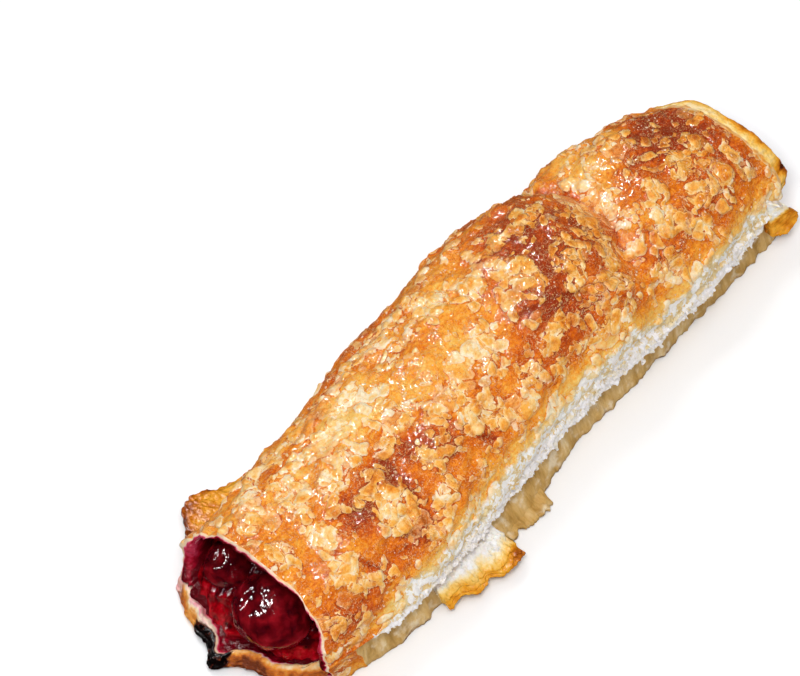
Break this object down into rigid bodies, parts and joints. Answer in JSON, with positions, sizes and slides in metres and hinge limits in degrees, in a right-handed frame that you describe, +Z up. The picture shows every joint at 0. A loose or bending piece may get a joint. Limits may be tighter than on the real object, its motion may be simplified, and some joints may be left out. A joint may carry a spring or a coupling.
{
  "type": "strudel",
  "caption": "Baked puff pastry strudel stick with a domed flaky crust, open ends and a cherry filling, lying on its flat underside.",
  "frame": {"origin": "under the middle of the strudel's bounding box, on the flat face that it rests on", "axes": "+X along the strudel from the near mouth with the scorched lip to the far mouth, +Y to the side away from the seam, +Z up"},
  "size_m": [0.192, 0.0734, 0.042],
  "materials": {
    "pastry": "baked puff pastry: glossy golden to red-brown egg-washed crust with pale flaky blisters, white crumbly seam",
    "cherry_jam": "wet dark red cherry jam",
    "cherry": "cooked sour cherries, very dark red, wrinkled and wet with syrup"
  },
  "bodies": {
    "root": {"pastry": "pastry", "cherry_filling": "cherry_jam", "cherry_near_large": "cherry", "cherry_near_small": "cherry", "cherry_near_upper": "cherry", "cherry_far_large": "cherry", "cherry_far_small": "cherry", "cherry_far_upper": "cherry"}
  },
  "joints": []
}
